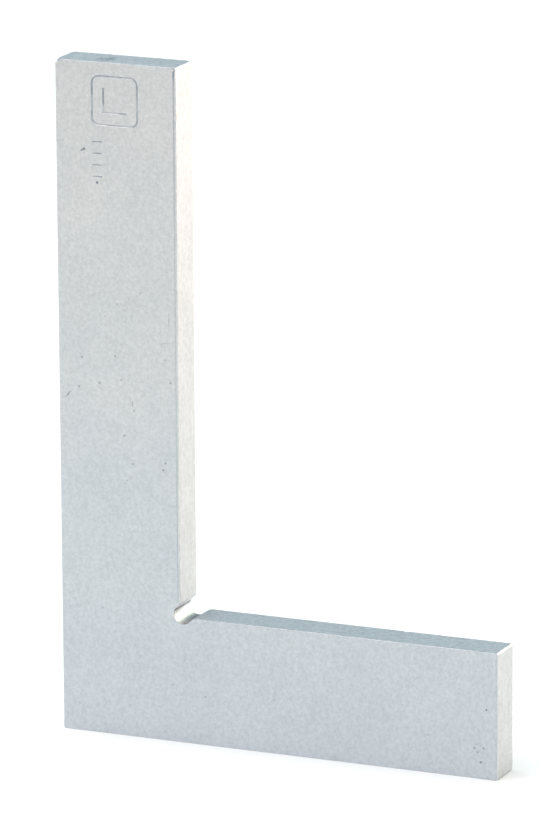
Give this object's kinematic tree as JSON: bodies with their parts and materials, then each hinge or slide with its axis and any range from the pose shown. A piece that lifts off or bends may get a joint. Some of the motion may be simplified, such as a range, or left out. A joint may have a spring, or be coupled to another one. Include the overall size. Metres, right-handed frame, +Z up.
{
  "type": "flat steel square",
  "caption": "Flat L-shaped steel square for marking out and checking right angles, with a 45 degree relief slot in the inner corner.",
  "frame": {"origin": "apex of the outer right angle, at mid-thickness, on the plane of the foot's outer working edge", "axes": "+X along the foot leg away from the apex, +Z up the upright leg, Y through the thickness with the marked front face at -Y"},
  "size_m": [0.0685, 0.0058, 0.1],
  "materials": {
    "ground_steel": "fine ground satin steel"
  },
  "bodies": {
    "root": {"square_body": "ground_steel"}
  },
  "joints": []
}
